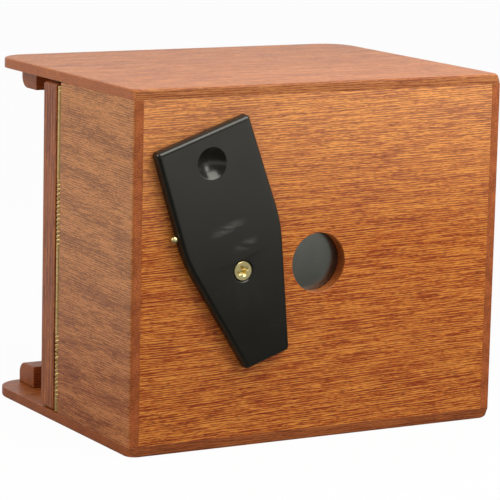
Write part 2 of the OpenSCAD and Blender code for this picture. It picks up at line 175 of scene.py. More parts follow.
def plate_mesh(rim, holes=()):
    """A plate from its rim's rings and its holes' rings, each hole from the low face or its blind floor up.

    Every ring is counter-clockwise. A hole whose first ring lies above the low face is blind, its floor flat.
    """
    verts, faces, low_loops, high_loops = [], [], [], []
    low = rim[0][1]

    def wall(rings, outwards):
        starts = []
        for points, height in rings:
            starts.append(len(verts))
            verts.extend((p[0], p[1], height) for p in points)
        n = len(rings[0][0])
        for s, t in zip(starts, starts[1:]):
            for i in range(n):
                j = (i + 1) % n
                quad = (s + i, s + j, t + j, t + i)
                faces.append(quad if outwards else quad[::-1])
        return [list(range(starts[k], starts[k] + n)) for k in (0, -1)]

    def cap(loops, upwards):
        flat = [i for loop in loops for i in loop]
        for tri in tessellate_polygon([[Vector(verts[i]) for i in loop] for loop in loops]):
            a, b, c = (flat[k] for k in tri)
            area = (Vector(verts[b]) - Vector(verts[a])).cross(Vector(verts[c]) - Vector(verts[a])).z
            if abs(area) > 1e-12:
                faces.append((a, b, c) if (area > 0) == upwards else (a, c, b))

    first, last = wall(rim, True)
    low_loops.append(first)
    high_loops.append(last)
    for rings in holes:
        first, last = wall(rings, False)
        high_loops.append(last)
        if abs(rings[0][1] - low) < 1e-9:
            low_loops.append(first)
        else:
            cap([first], True)
    cap(low_loops, False)
    cap(high_loops, True)
    return verts, faces


def straight_hole(outline, thickness, ease):
    """A hole right through, with its edge eased at both faces."""
    return [(inset(outline, -ease), 0), (outline, ease), (outline, thickness - ease),
            (inset(outline, -ease), thickness)]


def lathe_mesh(profile, steps=48):
    """Turned solid from (radius, height) points, from the low pole to the high one."""
    verts, faces, rows = [], [], []
    for r, h in profile:
        if r < 1e-9:
            rows.append([len(verts)])
            verts.append((0, 0, h))
        else:
            rows.append(list(range(len(verts), len(verts) + steps)))
            verts.extend((x, y, h) for x, y in circle((0, 0), r, steps))
    for a, b in zip(rows, rows[1:]):
        for i in range(steps):
            j = (i + 1) % steps
            ring = [a[i % len(a)], a[j % len(a)], b[j % len(b)], b[i % len(b)]]
            face = [v for k, v in enumerate(ring) if v not in ring[:k]]
            if len(face) > 2:
                faces.append(face)
    return verts, faces


def axes(origin, u, v, w):
    """Matrix that takes drawing axes to frame directions, from an origin in millimetres."""
    m = Matrix((u, v, w)).transposed().to_4x4()
    m.translation = Vector(origin)
    return m


X, Y, Z = Vector((1, 0, 0)), Vector((0, 1, 0)), Vector((0, 0, 1))


def piece(name, shape, place, body, material, nodes=(), sharp=38):
    """Makes a piece from a drawing in millimetres; it rides on a body and stands for the CAD nodes named."""
    verts, faces = shape
    mesh = bpy.data.meshes.new(name)
    mesh.from_pydata([(place @ Vector(v)) * MM for v in verts], [], faces)
    mesh.validate()
    mesh.materials.append(material)
    mesh.shade_smooth()
    mesh.set_sharp_from_angle(angle=math.radians(sharp))
    made = add_object(name, mesh)
    weights = made.modifiers.new("flat faces lead", "WEIGHTED_NORMAL")
    weights.keep_sharp = True
    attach(made, body)
    if nodes:
        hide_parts(*nodes)
    return made


def moved(shape, matrix):
    """A drawing with a matrix applied to it."""
    return [matrix @ Vector(v) for v in shape[0]], shape[1]


# Finishes

def blank_material(name):
    """A new material with its tree, Principled shader and object coordinates."""
    material = bpy.data.materials.new(name)
    material.use_nodes = True
    tree = material.node_tree
    shader = tree.nodes["Principled BSDF"]
    place = put(tree, "ShaderNodeTexCoord", out="Object")
    return material, tree, shader, place


def oiled_hardwood(name, tones, pore, turn, offset, streak=1.0, length=1.0, pore_depth=0.8, gloss=0.45,
                   end_tint="#AE5824", painted_edge_shade="#FFFFFF", painted_light_above=1.0, painted_light_add="#5C523E", patchy=0.55):
    """Mahogany-like hardwood, planed, sanded and oiled: wavy fibres, short dark open pores, a satin sheen.

    The grain is a solid, so the boards' ends show it end on. tones are the golden, middle and red hues. turn
    takes the grain's direction to X, in degrees, and offset picks another part of the tree, in millimetres.
    streak is how strong the fibres are, and length stretches them and the pores. patchy is how much patches
    show. painted_edge_shade is painted shade that darkens the faces of a board's long narrow edges. Above
    the height painted_light_above, in metres, the colour painted_light_add is added as painted light, for the
    brighter light and sheen that the lamps give the upper wood.
    """
    material, tree, shader, place = blank_material(name)
    angles = [math.radians(a) for a in turn]
    stock = put(tree, "ShaderNodeMapping", None, {
        "Vector": place, "Scale": (1 / MM,) * 3, "Rotation": angles, "Location": offset})

    def stretched(source, along, across):
        """Coordinates whose unit is one size in millimetres along the grain and another across it."""
        return put(tree, "ShaderNodeVectorMath", {"operation": "MULTIPLY"}, {
            0: source, 1: (1 / along, 1 / across, 1 / across)})

    # The fibres wander by a few millimetres over the board, and by tenths of a millimetre close up.
    # Each row is a size along the grain, a size across it, the detail and the shift, in millimetres.
    grain = stock
    for along, across, detail, shift in ((90, 38, 1.5, 1.8), (12, 3.0, 1.0, 0.16)):
        wander = put(tree, "ShaderNodeTexNoise", None, {
            "Vector": stretched(grain, along, across), "Scale": 1.0, "Detail": detail,
            "Roughness": 0.6}, "Color")
        grain = put(tree, "ShaderNodeVectorMath", {"operation": "MULTIPLY_ADD"},
                    {0: wander, 1: (0.0, shift, shift), 2: grain})

    # Patches a centimetre wide, growth streaks of 1 to 2 mm, long fibres, short flecks, and where layers
    # show. Each row is a size along the grain, a size across it, the detail and the range that is shown.
    layers = []
    for along, across, detail, low, high in (
            (50, 6.0, 3.0, 0.0, 1.0), (14 * length, 0.9, 2.0, 0.38, 0.62),
            (15 * length, 0.24, 1.0, 0.36, 0.64), (2.2 * length, 0.26, 1.0, 0.36, 0.64),
            (11, 1.3, 1.0, 0.4, 0.6)):
        drawn = put(tree, "ShaderNodeTexNoise", None, {
            "Vector": stretched(grain, along, across), "Scale": 1.0, "Detail": detail, "Roughness": 0.6})
        layers.append(put(tree, "ShaderNodeMapRange", {"clamp": True}, {
            "Value": drawn, "From Min": low, "From Max": high}))
    patches, streaks, fibres, flecks, banded = layers
    tone = 0.0
    for layer, share in ((patches, patchy), (streaks, 0.16 * streak), (fibres, 0.45 * streak),
                         (flecks, 0.30 * streak)):
        tone = put(tree, "ShaderNodeMath", {"operation": "MULTIPLY_ADD"}, {0: layer, 1: share, 2: tone})

    # Fine dark and light layers, which lean, ripple with the streaks, and come and go along the board
    layer_step, lean, ripple = 0.85, 0.35, 2.5
    parts = put(tree, "ShaderNodeSeparateXYZ", None, {0: grain}, None).outputs
    depth = put(tree, "ShaderNodeMath", {"operation": "MULTIPLY_ADD"}, {
        0: parts["Y"], 1: lean, 2: parts["Z"]})
    phase = put(tree, "ShaderNodeMath", {"operation": "MULTIPLY"}, {0: depth, 1: 2 * math.pi / layer_step})
    phase = put(tree, "ShaderNodeMath", {"operation": "MULTIPLY_ADD"}, {0: streaks, 1: ripple, 2: phase})
    wave = put(tree, "ShaderNodeMath", {"operation": "SINE"}, {0: phase})
    shown = put(tree, "ShaderNodeMath", {"operation": "MULTIPLY_ADD"}, {
        0: banded, 1: 0.20 * streak, 2: 0.08 * streak})
    tone = put(tree, "ShaderNodeMath", {"operation": "MULTIPLY_ADD"}, {0: wave, 1: shown, 2: tone})

    # The layers' sum lies evenly about its centre, and its spread takes the wood from red to golden
    centre, spread = 0.5 * patchy + 0.455 * streak, 0.25
    level = put(tree, "ShaderNodeMapRange", {"clamp": True}, {
        "Value": tone, "From Min": centre - spread, "From Max": centre + spread})
    ramp = put(tree, "ShaderNodeValToRGB", None, {"Fac": level}, None)
    golden, middle_tone, red = tones
    ramp.color_ramp.elements[0].color = linear(golden)
    ramp.color_ramp.elements[1].color = linear(red)
    ramp.color_ramp.elements.new(0.5).color = linear(middle_tone)
    # Painted light and sheen: above the height painted_light_above the colour painted_light_add is added to
    # the wood
    height = put(tree, "ShaderNodeSeparateXYZ", None, {0: place}, "Z")
    paler = put(tree, "ShaderNodeMapRange", {"clamp": True}, {
        "Value": height, "From Min": painted_light_above, "From Max": painted_light_above + 0.05})
    toned = put(tree, "ShaderNodeMix", {"data_type": "RGBA", "blend_type": "ADD"}, {
        "Factor": paler, "A": ramp.outputs["Color"], "B": linear(painted_light_add)}, 2)

    # Open pores: dashes 2 to 4 mm long and 0.2 mm wide, and fewer longer ones. Each row is a cell's sizes
    # along and across the grain, the pore's inner and outer radius in it, and how rare the pores are.
    masks = []
    for along, across, inner, outer, rare in (
            (4.4 * length, 0.34, 0.06, 0.34, 0.15), (10.0 * length, 0.62, 0.04, 0.20, 0.30)):
        cells = put(tree, "ShaderNodeTexVoronoi", None, {
            "Vector": stretched(grain, along, across), "Scale": 1.0}, None).outputs
        dash = put(tree, "ShaderNodeMapRange", {"clamp": True}, {
            "Value": cells["Distance"], "From Min": inner, "From Max": outer,
            "To Min": 1.0, "To Max": 0.0})
        some = put(tree, "ShaderNodeMapRange", {"clamp": True}, {
            "Value": cells["Color"], "From Min": rare, "From Max": rare + 0.4})
        masks.append(put(tree, "ShaderNodeMath", {"operation": "MULTIPLY"}, {0: dash, 1: some}))
    pores = put(tree, "ShaderNodeMath", {"operation": "MAXIMUM"}, {0: masks[0], 1: masks[1]})
    deep = put(tree, "ShaderNodeMath", {"operation": "MULTIPLY"}, {0: pores, 1: pore_depth})
    coloured = put(tree, "ShaderNodeMix", {"data_type": "RGBA"}, {
        "Factor": deep, "A": toned, "B": linear(pore)}, 2)

    # End grain drinks more oil and turns darker, and the long edges get painted shade from painted_edge_shade
    normal = put(tree, "ShaderNodeTexCoord", out="Normal")
    facing = put(tree, "ShaderNodeMapping", {"vector_type": "NORMAL"}, {"Vector": normal, "Rotation": angles})
    sides = put(tree, "ShaderNodeSeparateXYZ", None, {0: facing}, None).outputs
    end_on, edge_on = (put(tree, "ShaderNodeMath", {"operation": "ABSOLUTE"}, {0: sides[axis]})
                       for axis in ("X", "Y"))
    soaked = put(tree, "ShaderNodeMapRange", {"clamp": True}, {
        "Value": end_on, "From Min": 0.5, "From Max": 0.95, "To Max": 0.8})
    tinted = put(tree, "ShaderNodeMix", {"data_type": "RGBA"}, {
        "Factor": soaked, "A": coloured, "B": linear(end_tint)}, 2)
    speckle = put(tree, "ShaderNodeMath", {"operation": "MULTIPLY"}, {0: level, 1: 0.7})
    speckle = put(tree, "ShaderNodeMath", {"operation": "MULTIPLY"}, {0: soaked, 1: speckle})
    mixed = put(tree, "ShaderNodeMix", {"data_type": "RGBA"}, {
        "Factor": speckle, "A": tinted, "B": linear(pore)}, 2)
    edge = put(tree, "ShaderNodeMapRange", {"clamp": True}, {
        "Value": edge_on, "From Min": 0.5, "From Max": 0.9})
    shaded = put(tree, "ShaderNodeMix", {"data_type": "RGBA", "blend_type": "MULTIPLY"}, {
        "Factor": edge, "A": mixed, "B": linear(painted_edge_shade)}, 2)

    # Pores are rough and deep, and fibres a little smoother and proud
    rough = put(tree, "ShaderNodeMath", {"operation": "MULTIPLY_ADD"}, {0: pores, 1: 0.2, 2: gloss})
    rough = put(tree, "ShaderNodeMath", {"operation": "MULTIPLY_ADD"}, {0: fibres, 1: -0.05, 2: rough})
    relief = put(tree, "ShaderNodeMath", {"operation": "MULTIPLY_ADD"}, {0: pores, 1: -1.0, 2: 1.0})
    relief = put(tree, "ShaderNodeMath", {"operation": "MULTIPLY_ADD"}, {0: fibres, 1: 0.2, 2: relief})
    bump = put(tree, "ShaderNodeBump", None, {
        "Height": relief, "Strength": 0.35, "Distance": 0.08 * MM}, "Normal")
    feed(tree, shader, {"Base Color": shaded, "Roughness": rough, "Normal": bump, "IOR": 1.45,
                        "Specular IOR Level": 0.34})
    return material


def two_toned(tree, shader, share, tones, relief, strength, depth):
    """Colours a finish between two tones by a pattern, and gives it a relief of a depth in millimetres."""
    colour = put(tree, "ShaderNodeMix", {"data_type": "RGBA"}, {
        "Factor": share, "A": linear(tones[0]), "B": linear(tones[1])}, 2)
    bump = put(tree, "ShaderNodeBump", None, {
        "Height": relief, "Strength": strength, "Distance": depth * MM}, "Normal")
    feed(tree, shader, {"Base Color": colour, "Normal": bump})


def moulded_plastic():
    """Black ABS from a finely sparked mould: satin, with a soft sheen that is a little uneven.

    Two pale rubbed patches lie between the dimple and the screw, where fingers slide off.
    """
    material, tree, shader, place = blank_material("black_abs_moulded")
    fine = put(tree, "ShaderNodeTexNoise", None, {"Vector": place, "Scale": 1 / (0.25 * MM), "Detail": 2.0})
    broad = put(tree, "ShaderNodeTexNoise", None, {"Vector": place, "Scale": 1 / (14 * MM), "Detail": 3.0})
    turned = put(tree, "ShaderNodeMapping", None, {
        "Vector": place, "Rotation": (0, math.radians(-20), 0),
        "Scale": (1 / (9 * MM), 1 / (9 * MM), 1 / (2.5 * MM))})
    rubs = put(tree, "ShaderNodeTexNoise", None, {
        "Vector": turned, "Scale": 1.0, "Detail": 4.0, "Roughness": 0.7})
    scuff = put(tree, "ShaderNodeMapRange", {"clamp": True}, {
        "Value": rubs, "From Min": 0.40, "From Max": 0.72, "To Max": 0.5})

    # Each row is a rubbed patch's place and half its length, in millimetres
    zones = []
    for x, z, half_long in ((-41.0, 82.0, 10.0), (-34.5, 75.5, 7.5)):
        away = put(tree, "ShaderNodeMapping", {"vector_type": "TEXTURE"}, {
            "Vector": place, "Location": (x * MM, 0, z * MM), "Rotation": (0, math.radians(-20), 0),
            "Scale": (half_long * MM, 1, 2.6 * MM)})
        far = put(tree, "ShaderNodeVectorMath", {"operation": "LENGTH"}, {0: away}, "Value")
        zones.append(put(tree, "ShaderNodeMapRange", {"clamp": True, "interpolation_type": "SMOOTHSTEP"}, {
            "Value": far, "From Min": 1.0, "From Max": 0.1}))
    zone = put(tree, "ShaderNodeMath", {"operation": "MAXIMUM"}, {0: zones[0], 1: zones[1]})
    scuff = put(tree, "ShaderNodeMath", {"operation": "MULTIPLY"}, {0: scuff, 1: zone})
    two_toned(tree, shader, scuff, ("#171611", "#6E6C66"), fine, 0.12, 0.02)
    rough = put(tree, "ShaderNodeMapRange", {"clamp": True}, {
        "Value": broad, "From Min": 0.3, "From Max": 0.7, "To Min": 0.22, "To Max": 0.28})
    feed(tree, shader, {"Roughness": rough, "IOR": 1.53, "Specular Tint": (1.0, 0.98, 0.88, 1.0)})
    return material


def drawn_metal(name, bright, dull, along, rough_low, rough_high, line_depth=0.1):
    """Drawn or turned metal: fine lines along its working direction, and patches a little more tarnished."""
    material, tree, shader, place = blank_material(name)
    lines = put(tree, "ShaderNodeMapping", None, {
        "Vector": place, "Scale": [1 / (size * MM) for size in along]})
    marks = put(tree, "ShaderNodeTexNoise", None, {"Vector": lines, "Scale": 1.0, "Detail": 3.0})
    patches = put(tree, "ShaderNodeTexNoise", None, {"Vector": place, "Scale": 1 / (7 * MM), "Detail": 3.0})
    two_toned(tree, shader, patches, (bright, dull), marks, line_depth, 0.02)
    rough = put(tree, "ShaderNodeMapRange", {"clamp": True}, {
        "Value": marks, "From Min": 0.3, "From Max": 0.7, "To Min": rough_low, "To Max": rough_high})
    feed(tree, shader, {"Roughness": rough, "Metallic": 1.0})
    return material


def blackened_ply():
    """Thin birch stained with flat black: matt, with its grain just showing."""
    material, tree, shader, place = blank_material("birch_stained_black")
    lines = put(tree, "ShaderNodeMapping", None, {
        "Vector": place, "Scale": (1 / (16 * MM), 1 / (0.6 * MM), 1 / (0.6 * MM))})
    grain = put(tree, "ShaderNodeTexNoise", None, {"Vector": lines, "Scale": 1.0, "Detail": 3.0})
    two_toned(tree, shader, grain, ("#1A1816", "#2E2A26"), grain, 0.4, 0.06)
    feed(tree, shader, {"Roughness": 0.8})
    return material


def wool_felt():
    """Black pressed wool felt: no direction, no gloss, a soft sheen from its loose fibres."""
    material, tree, shader, place = blank_material("wool_felt_black")
    fuzz = put(tree, "ShaderNodeTexNoise", None, {"Vector": place, "Scale": 1 / (0.35 * MM), "Detail": 4.0})
    two_toned(tree, shader, fuzz, ("#0E0E0E", "#2A2A2A"), fuzz, 0.8, 0.15)
    feed(tree, shader, {"Roughness": 0.95, "Sheen Weight": 0.3})
    return material


def turned_nylon():
    """Natural nylon washer: milky, softly glossy, faintly mottled."""
    material, tree, shader, place = blank_material("nylon_natural")
    cloud = put(tree, "ShaderNodeTexNoise", None, {"Vector": place, "Scale": 1 / (3 * MM), "Detail": 2.0})
    colour = put(tree, "ShaderNodeMix", {"data_type": "RGBA"}, {
        "Factor": cloud, "A": linear("#D9D5C8"), "B": linear("#C4BFAE")}, 2)
    feed(tree, shader, {"Base Color": colour, "Roughness": 0.4})
    return material


ALONG_X, ALONG_Z = (0, 0, 0), (0, 90, 0)
# The front and side woods get painted light towards their tops, by painted_light_above and painted_light_add
front_wood = oiled_hardwood("hardwood_oiled_front", ("#D28535", "#B05A18", "#822F0A"), "#501A03",
                            (0, 1.2, 0), (410, 93, 37), streak=1.12, pore_depth=0.95, painted_light_above=0.072,
                            patchy=0.32)
# The top and bottom boards get painted shade on their long edges, by painted_edge_shade
top_wood = oiled_hardwood("hardwood_oiled_top", ("#D68849", "#B86A31", "#92481D"), "#683014",
                          ALONG_X, (90, 310, 212), streak=1.1, end_tint="#C26A30", painted_edge_shade="#D8D8DC")
bottom_wood = oiled_hardwood("hardwood_oiled_bottom", ("#CC7A3C", "#B46228", "#8A4216"), "#5A260C",
                             ALONG_X, (720, 55, 430), streak=0.8, pore_depth=0.7, end_tint="#B05A22",
                             painted_edge_shade="#C8BEB4")
side_wood = oiled_hardwood("hardwood_oiled_side", ("#CC824C", "#B0672F", "#823C16"), "#4C1E08",
                           (-1, 0, -90), (250, 640, 120), streak=0.85, length=0.6, pore_depth=0.95,
                           end_tint="#A8521F", painted_light_above=0.018, painted_light_add="#4C4228", patchy=1.1)
door_wood = oiled_hardwood("hardwood_oiled_door", ("#BC6C34", "#9A5124", "#703010"), "#401A08",
                           ALONG_Z, (33, 81, 902), streak=0.8, pore_depth=0.8)
batten_wood = oiled_hardwood("hardwood_oiled_batten", ("#B46A34", "#9F542A", "#834121"), "#4C240F",
                             ALONG_X, (540, 12, 77), streak=0.7, pore_depth=0.6, end_tint="#B8622C")
inner_wood = oiled_hardwood("hardwood_sawn_inner", ("#9A6A42", "#875A36", "#70472A"), "#452613",
                            ALONG_X, (66, 430, 15), gloss=0.62)
plastic = moulded_plastic()
hinge_brass = drawn_metal("brass_drawn_hinge", "#D4B47A", "#AE8E52", (0.3, 0.3, 8), 0.26, 0.42)
screw_brass = drawn_metal("brass_turned_screws", "#FAEBB4", "#E8D48C", (0.4, 4, 0.4), 0.26, 0.40)
bronze = drawn_metal("bronze_rolled_spring", "#C08A5A", "#8E6038", (9, 0.4, 0.4), 0.28, 0.45)
shim = drawn_metal("brass_shim_blackened", "#8C8D83", "#787A73", (6, 6, 0.5), 0.2, 0.26, line_depth=0.02)
black_ply = blackened_ply()
felt = wool_felt()
nylon = turned_nylon()


# Case boards and walls

def board(name, node, material, outer_up, holes=()):
    """Top or bottom board with an arris all round; its front corners are rounder towards the outer face."""
    low, high = box_mm(node)
    thickness = high.z - low.z

    def outline_at(height):
        worn = height / thickness if outer_up else 1 - height / thickness
        front = FRONT_CORNER_R + (WORN_CORNER_R - FRONT_CORNER_R) * worn ** 2
        return rounded_rectangle(low.x, high.x, low.y, high.y, (front, front, REAR_CORNER_R, REAR_CORNER_R))

    inner, outer = JOINT_EASE, ARRIS
    eases = (inner, outer) if outer_up else (outer, inner)
    shape = plate_mesh(eased_rings(outline_at, thickness, *eases), holes)
    piece(name, shape, axes((0, 0, low.z), X, Y, Z), "case", material, [node])


def insert_hole():
    """Counterbore and bore for the tripod insert, through the bottom board."""
    centre = middle("tripod_insert")
    depth = box_mm("tripod_insert")[0].z + FLANGE_T
    top = box_mm("bottom_board")[1].z
    wide, narrow = (circle(centre, r + FIT_GAP) for r in (FLANGE_R, INSERT_R))
    ease = 0.2
    return [(inset(wide, -ease), 0), (wide, ease), (wide, depth), (narrow, depth), (narrow, top)]


def side_wall(name, node, side):
    """Side wall, drawn in plan: its outer front corner is round, and its other edges only just eased."""
    low, high = box_mm(node)
    tight = JOINT_EASE
    radii = (FRONT_CORNER_R, tight, tight, 0.5) if side < 0 else (tight, FRONT_CORNER_R, 0.5, tight)
    outline = rounded_rectangle(low.x, high.x, low.y, high.y, radii)
    shape = plate_mesh(eased_rings(outline, high.z - low.z, tight, tight, 2))
    piece(name, shape, axes((0, 0, low.z), X, Y, Z), "case", side_wood, [node])


def front_board():
    """Front panel with its opening and the holes for the pivot, the stop pin and the retainer's screws."""
    low, high = box_mm("front_panel")
    thickness = high.y - low.y
    outline = rounded_rectangle(low.x, high.x, low.z, high.z, (0.2,) * 4)
    aim, pivot, pin = (middle(n) for n in ("pinhole_plate", "pivot_screw", "stop_pin"))
    holes = [straight_hole(circle((aim.x, aim.z), BORE_R, 96), thickness, 0.22),
             straight_hole(circle((pivot.x, pivot.z), PIVOT_BORE_R, 24), thickness, 0.1),
             straight_hole(circle((pin.x, pin.z), PIN_BORE_R, 16), thickness, 0.05)]
    shape = plate_mesh(eased_rings(outline, thickness, JOINT_EASE, JOINT_EASE, 2), holes)
    piece("front_board", shape, axes((0, high.y, 0), X, Z, -Y), "case",
          front_wood, ["front_panel"])


def batten(name, node, upwards):
    """Batten in section, its outer rear edge well rounded, with lightly eased ends."""
    low, high = box_mm(node)
    depth, height = high.y - low.y, high.z - low.z
    outline = rounded_rectangle(0, depth, 0, height, (0.1, 0.3, BATTEN_R, 0.6))
    shape = plate_mesh(eased_rings(outline, high.x - low.x, 0.4, 0.4, 3))
    if upwards:
        place = axes((low.x, low.y, low.z), Y, Z, X)
    else:
        place = axes((high.x, low.y, high.z), Y, -Z, -X)
    piece(name, shape, place, "case", batten_wood, [node])


def door():
    """Back door: a thick board on edge with softened arrises."""
    low, high = box_mm("back_door")
    outline = rounded_rectangle(low.x, high.x, low.z, high.z, (DOOR_EDGE_R,) * 4)
    rim = eased_rings(outline, high.y - low.y, 1.0, 0.4)
    piece("door_board", plate_mesh(rim), axes((0, high.y, 0), X, Z, -Y), "door",
          door_wood, ["back_door"])


board("top_case_board", "top_board", top_wood, True)
board("bottom_case_board", "bottom_board", bottom_wood, False, [insert_hole()])
side_wall("left_case_wall", "left_wall", -1)
side_wall("right_case_wall", "right_wall", 1)
front_board()
batten("lower_rear_batten", "lower_batten", True)
batten("upper_rear_batten", "upper_batten", False)
door()


# Shutter blade, its screw and the stop pin

def blade_outline(s):
    """Blade from the front, shrunk by s: pivot at the origin, wide end up, widest at its knee."""
    tip_r = max(BLADE_TIP_R, s + 0.05)
    taper = math.degrees(math.atan((BLADE_HALF_KNEE - BLADE_HALF_NARROW) / (BLADE_TAPER_START + BLADE_SHORT)))
    lean = math.degrees(math.atan((BLADE_HALF_KNEE - BLADE_HALF_WIDE) / (BLADE_LONG - BLADE_TAPER_START)))
    half = []
    for corner, start, end, r, steps in (
            ((BLADE_HALF_NARROW, -BLADE_SHORT), -90, -taper, tip_r, 6),
            ((BLADE_HALF_KNEE, BLADE_TAPER_START), -taper, lean, BLADE_KNEE_R, 10),
            ((BLADE_HALF_WIDE, BLADE_LONG), lean, 90, tip_r, 6)):
        a, b = (Vector((math.cos(math.radians(d)), math.sin(math.radians(d)))) for d in (start, end))
        half += arc(Vector(corner) - (a + b) * (r / (1 + a.dot(b))), r - s, start, end, steps)
    return half + [(-x, y) for x, y in reversed(half)]


def shutter():
    """Moulded blade: a fine parting line round its rim, an eased face, a finger dimple and a countersink."""
    low, high = box_mm("shutter_blade")
    pivot = middle("pivot_screw")
    thickness = high.y - low.y
    ease, parting = BLADE_EASE, 0.45 * thickness
    step = 0.08
    rim = [(blade_outline(s), h) for s, h in (
        (0.25, 0), (0.07, 0.07), (0.0, 0.25), (0.0, parting), (0.06, parting + 0.02),
        (step, thickness - ease))]
    for i in range(1, 10):
        a = math.radians(10 * i)
        shrunk = step + (ease - step) * (1 - math.cos(a))
        rim.append((blade_outline(shrunk), thickness - ease * (1 - math.sin(a))))
    ball = (DIMPLE_R ** 2 + DIMPLE_DEPTH ** 2) / (2 * DIMPLE_DEPTH)
    slope = math.asin(DIMPLE_R / ball)
    dish = []
    for i in range(1, 12):
        a = slope * i / 12
        dish.append((circle((0, DIMPLE_POS), ball * math.sin(a), 64),
                     thickness - DIMPLE_DEPTH + ball * (1 - math.cos(a))))
    for i in range(5):
        a = slope * (4 - i) / 4
        dish.append((circle((0, DIMPLE_POS), DIMPLE_R + DIMPLE_LIP_R * (math.sin(slope) - math.sin(a)), 64),
                     thickness - DIMPLE_LIP_R * (1 - math.cos(a))))
    cone = (COUNTERSINK_R - BLADE_BORE_R) / math.tan(math.radians(HEAD_HALF_ANGLE))
    sink = [(circle((0, 0), r), h) for r, h in (
        (BLADE_BORE_R + 0.15, 0), (BLADE_BORE_R, 0.15), (BLADE_BORE_R, thickness - cone),
        (COUNTERSINK_R - 0.1, thickness - 0.12), (COUNTERSINK_R + 0.08, thickness))]
    tilt = Matrix.Rotation(math.radians(-OPEN_TILT), 4, "Y")
    place = Matrix.Translation((pivot.x, high.y, pivot.z)) @ tilt @ axes((0, 0, 0), X, Z, -Y)
    piece("shutter_moulding", plate_mesh(rim, [dish, sink]), place, "shutter",
          plastic, ["shutter_blade"], sharp=50)


def cross_outline(half_long, half_wide):
    """A cross with softly rounded inner corners, for a screw's recess."""
    quarter = [(half_long, -half_wide), (half_long, half_wide), (half_wide * 1.7, half_wide * 1.25),
               (half_wide * 1.25, half_wide * 1.7)]
    points = []
    for k in range(4):
        c, s = math.cos(math.pi / 2 * k), math.sin(math.pi / 2 * k)
        points += [(x * c - y * s, x * s + y * c) for x, y in quarter]
    return points


def pivot_screw():
    """Countersunk brass wood screw with a tapered cross recess, its shank below."""
    low, high = box_mm("pivot_screw")
    centre = middle("pivot_screw")
    shank, edge, ease = 1.75, 0.25, 0.12
    cone = (HEAD_R - shank) / math.tan(math.radians(HEAD_HALF_ANGLE))
    length = high.y - low.y
    rim = [(circle((0, 0), r), h) for r, h in (
        (0.2, 0), (shank, 3), (shank, length - edge - cone), (HEAD_R, length - edge),
        (HEAD_R, length - ease), (HEAD_R - ease, length))]
    recess = [(cross_outline(0.55, 0.28), length - 1.7), (cross_outline(1.5, 0.42), length - 0.8),
              (cross_outline(1.95, 0.50), length - 0.1), (cross_outline(2.08, 0.58), length)]
    spin = Matrix.Rotation(math.radians(24), 4, "Z")
    shape = moved(plate_mesh(rim, [recess]), spin)
    piece("pivot_wood_screw", shape, axes((centre.x, high.y, centre.z), X, Z, -Y), "case",
          screw_brass, ["pivot_screw"], sharp=35)


def stop_pin():
    """Small brass nail: straight shank, domed head with a slightly hollow middle."""
    low, high = box_mm("stop_pin")
    centre = middle("stop_pin")
    length, head, shank = high.y - low.y, 1.3, 0.65
    under = length - 1.0
    profile = [(0, 0), (shank, 0.3), (shank, under), (head - 0.1, under), (head, under + 0.12),
               (head * 0.97, under + 0.35), (head * 0.82, under + 0.68), (head * 0.55, under + 0.9),
               (head * 0.3, length), (0, length - 0.03)]
    piece("stop_nail", lathe_mesh(profile, 32), axes((centre.x, high.y, centre.z), X, Z, -Y), "case",
          screw_brass, ["stop_pin"])


shutter()
pivot_screw()
stop_pin()


# Hinge, with its knuckles repeated along the pin

def node_tree(name, sockets):
    """A Geometry Nodes tree with inputs of these names and kinds; returns it, its inputs and its result."""
    tree = bpy.data.node_groups.new(name, "GeometryNodeTree")
    tree.is_modifier = True
    for label, kind in [("Geometry", "Geometry")] + list(sockets):
        tree.interface.new_socket(label, in_out="INPUT", socket_type="NodeSocket" + kind)
    tree.interface.new_socket("Geometry", in_out="OUTPUT", socket_type="NodeSocketGeometry")
    given = tree.nodes.new("NodeGroupInput")
    result = tree.nodes.new("NodeGroupOutput")
    return tree, given.outputs, result.inputs["Geometry"]


def grown(tree, values):
    """What the tree makes with these input values, as one shape in millimetres."""
    holder = add_object(tree.name, bpy.data.meshes.new(tree.name))
    repeat = holder.modifiers.new(tree.name, "NODES")
    repeat.node_group = tree
    for socket in tree.interface.items_tree:
        if socket.in_out == "INPUT" and socket.name in values:
            repeat[socket.identifier] = values[socket.name]
    seen = holder.evaluated_get(bpy.context.evaluated_depsgraph_get())
    mesh = bpy.data.meshes.new_from_object(seen)
    bpy.data.objects.remove(holder)
    return [v.co / MM for v in mesh.vertices], [tuple(f.vertices) for f in mesh.polygons]


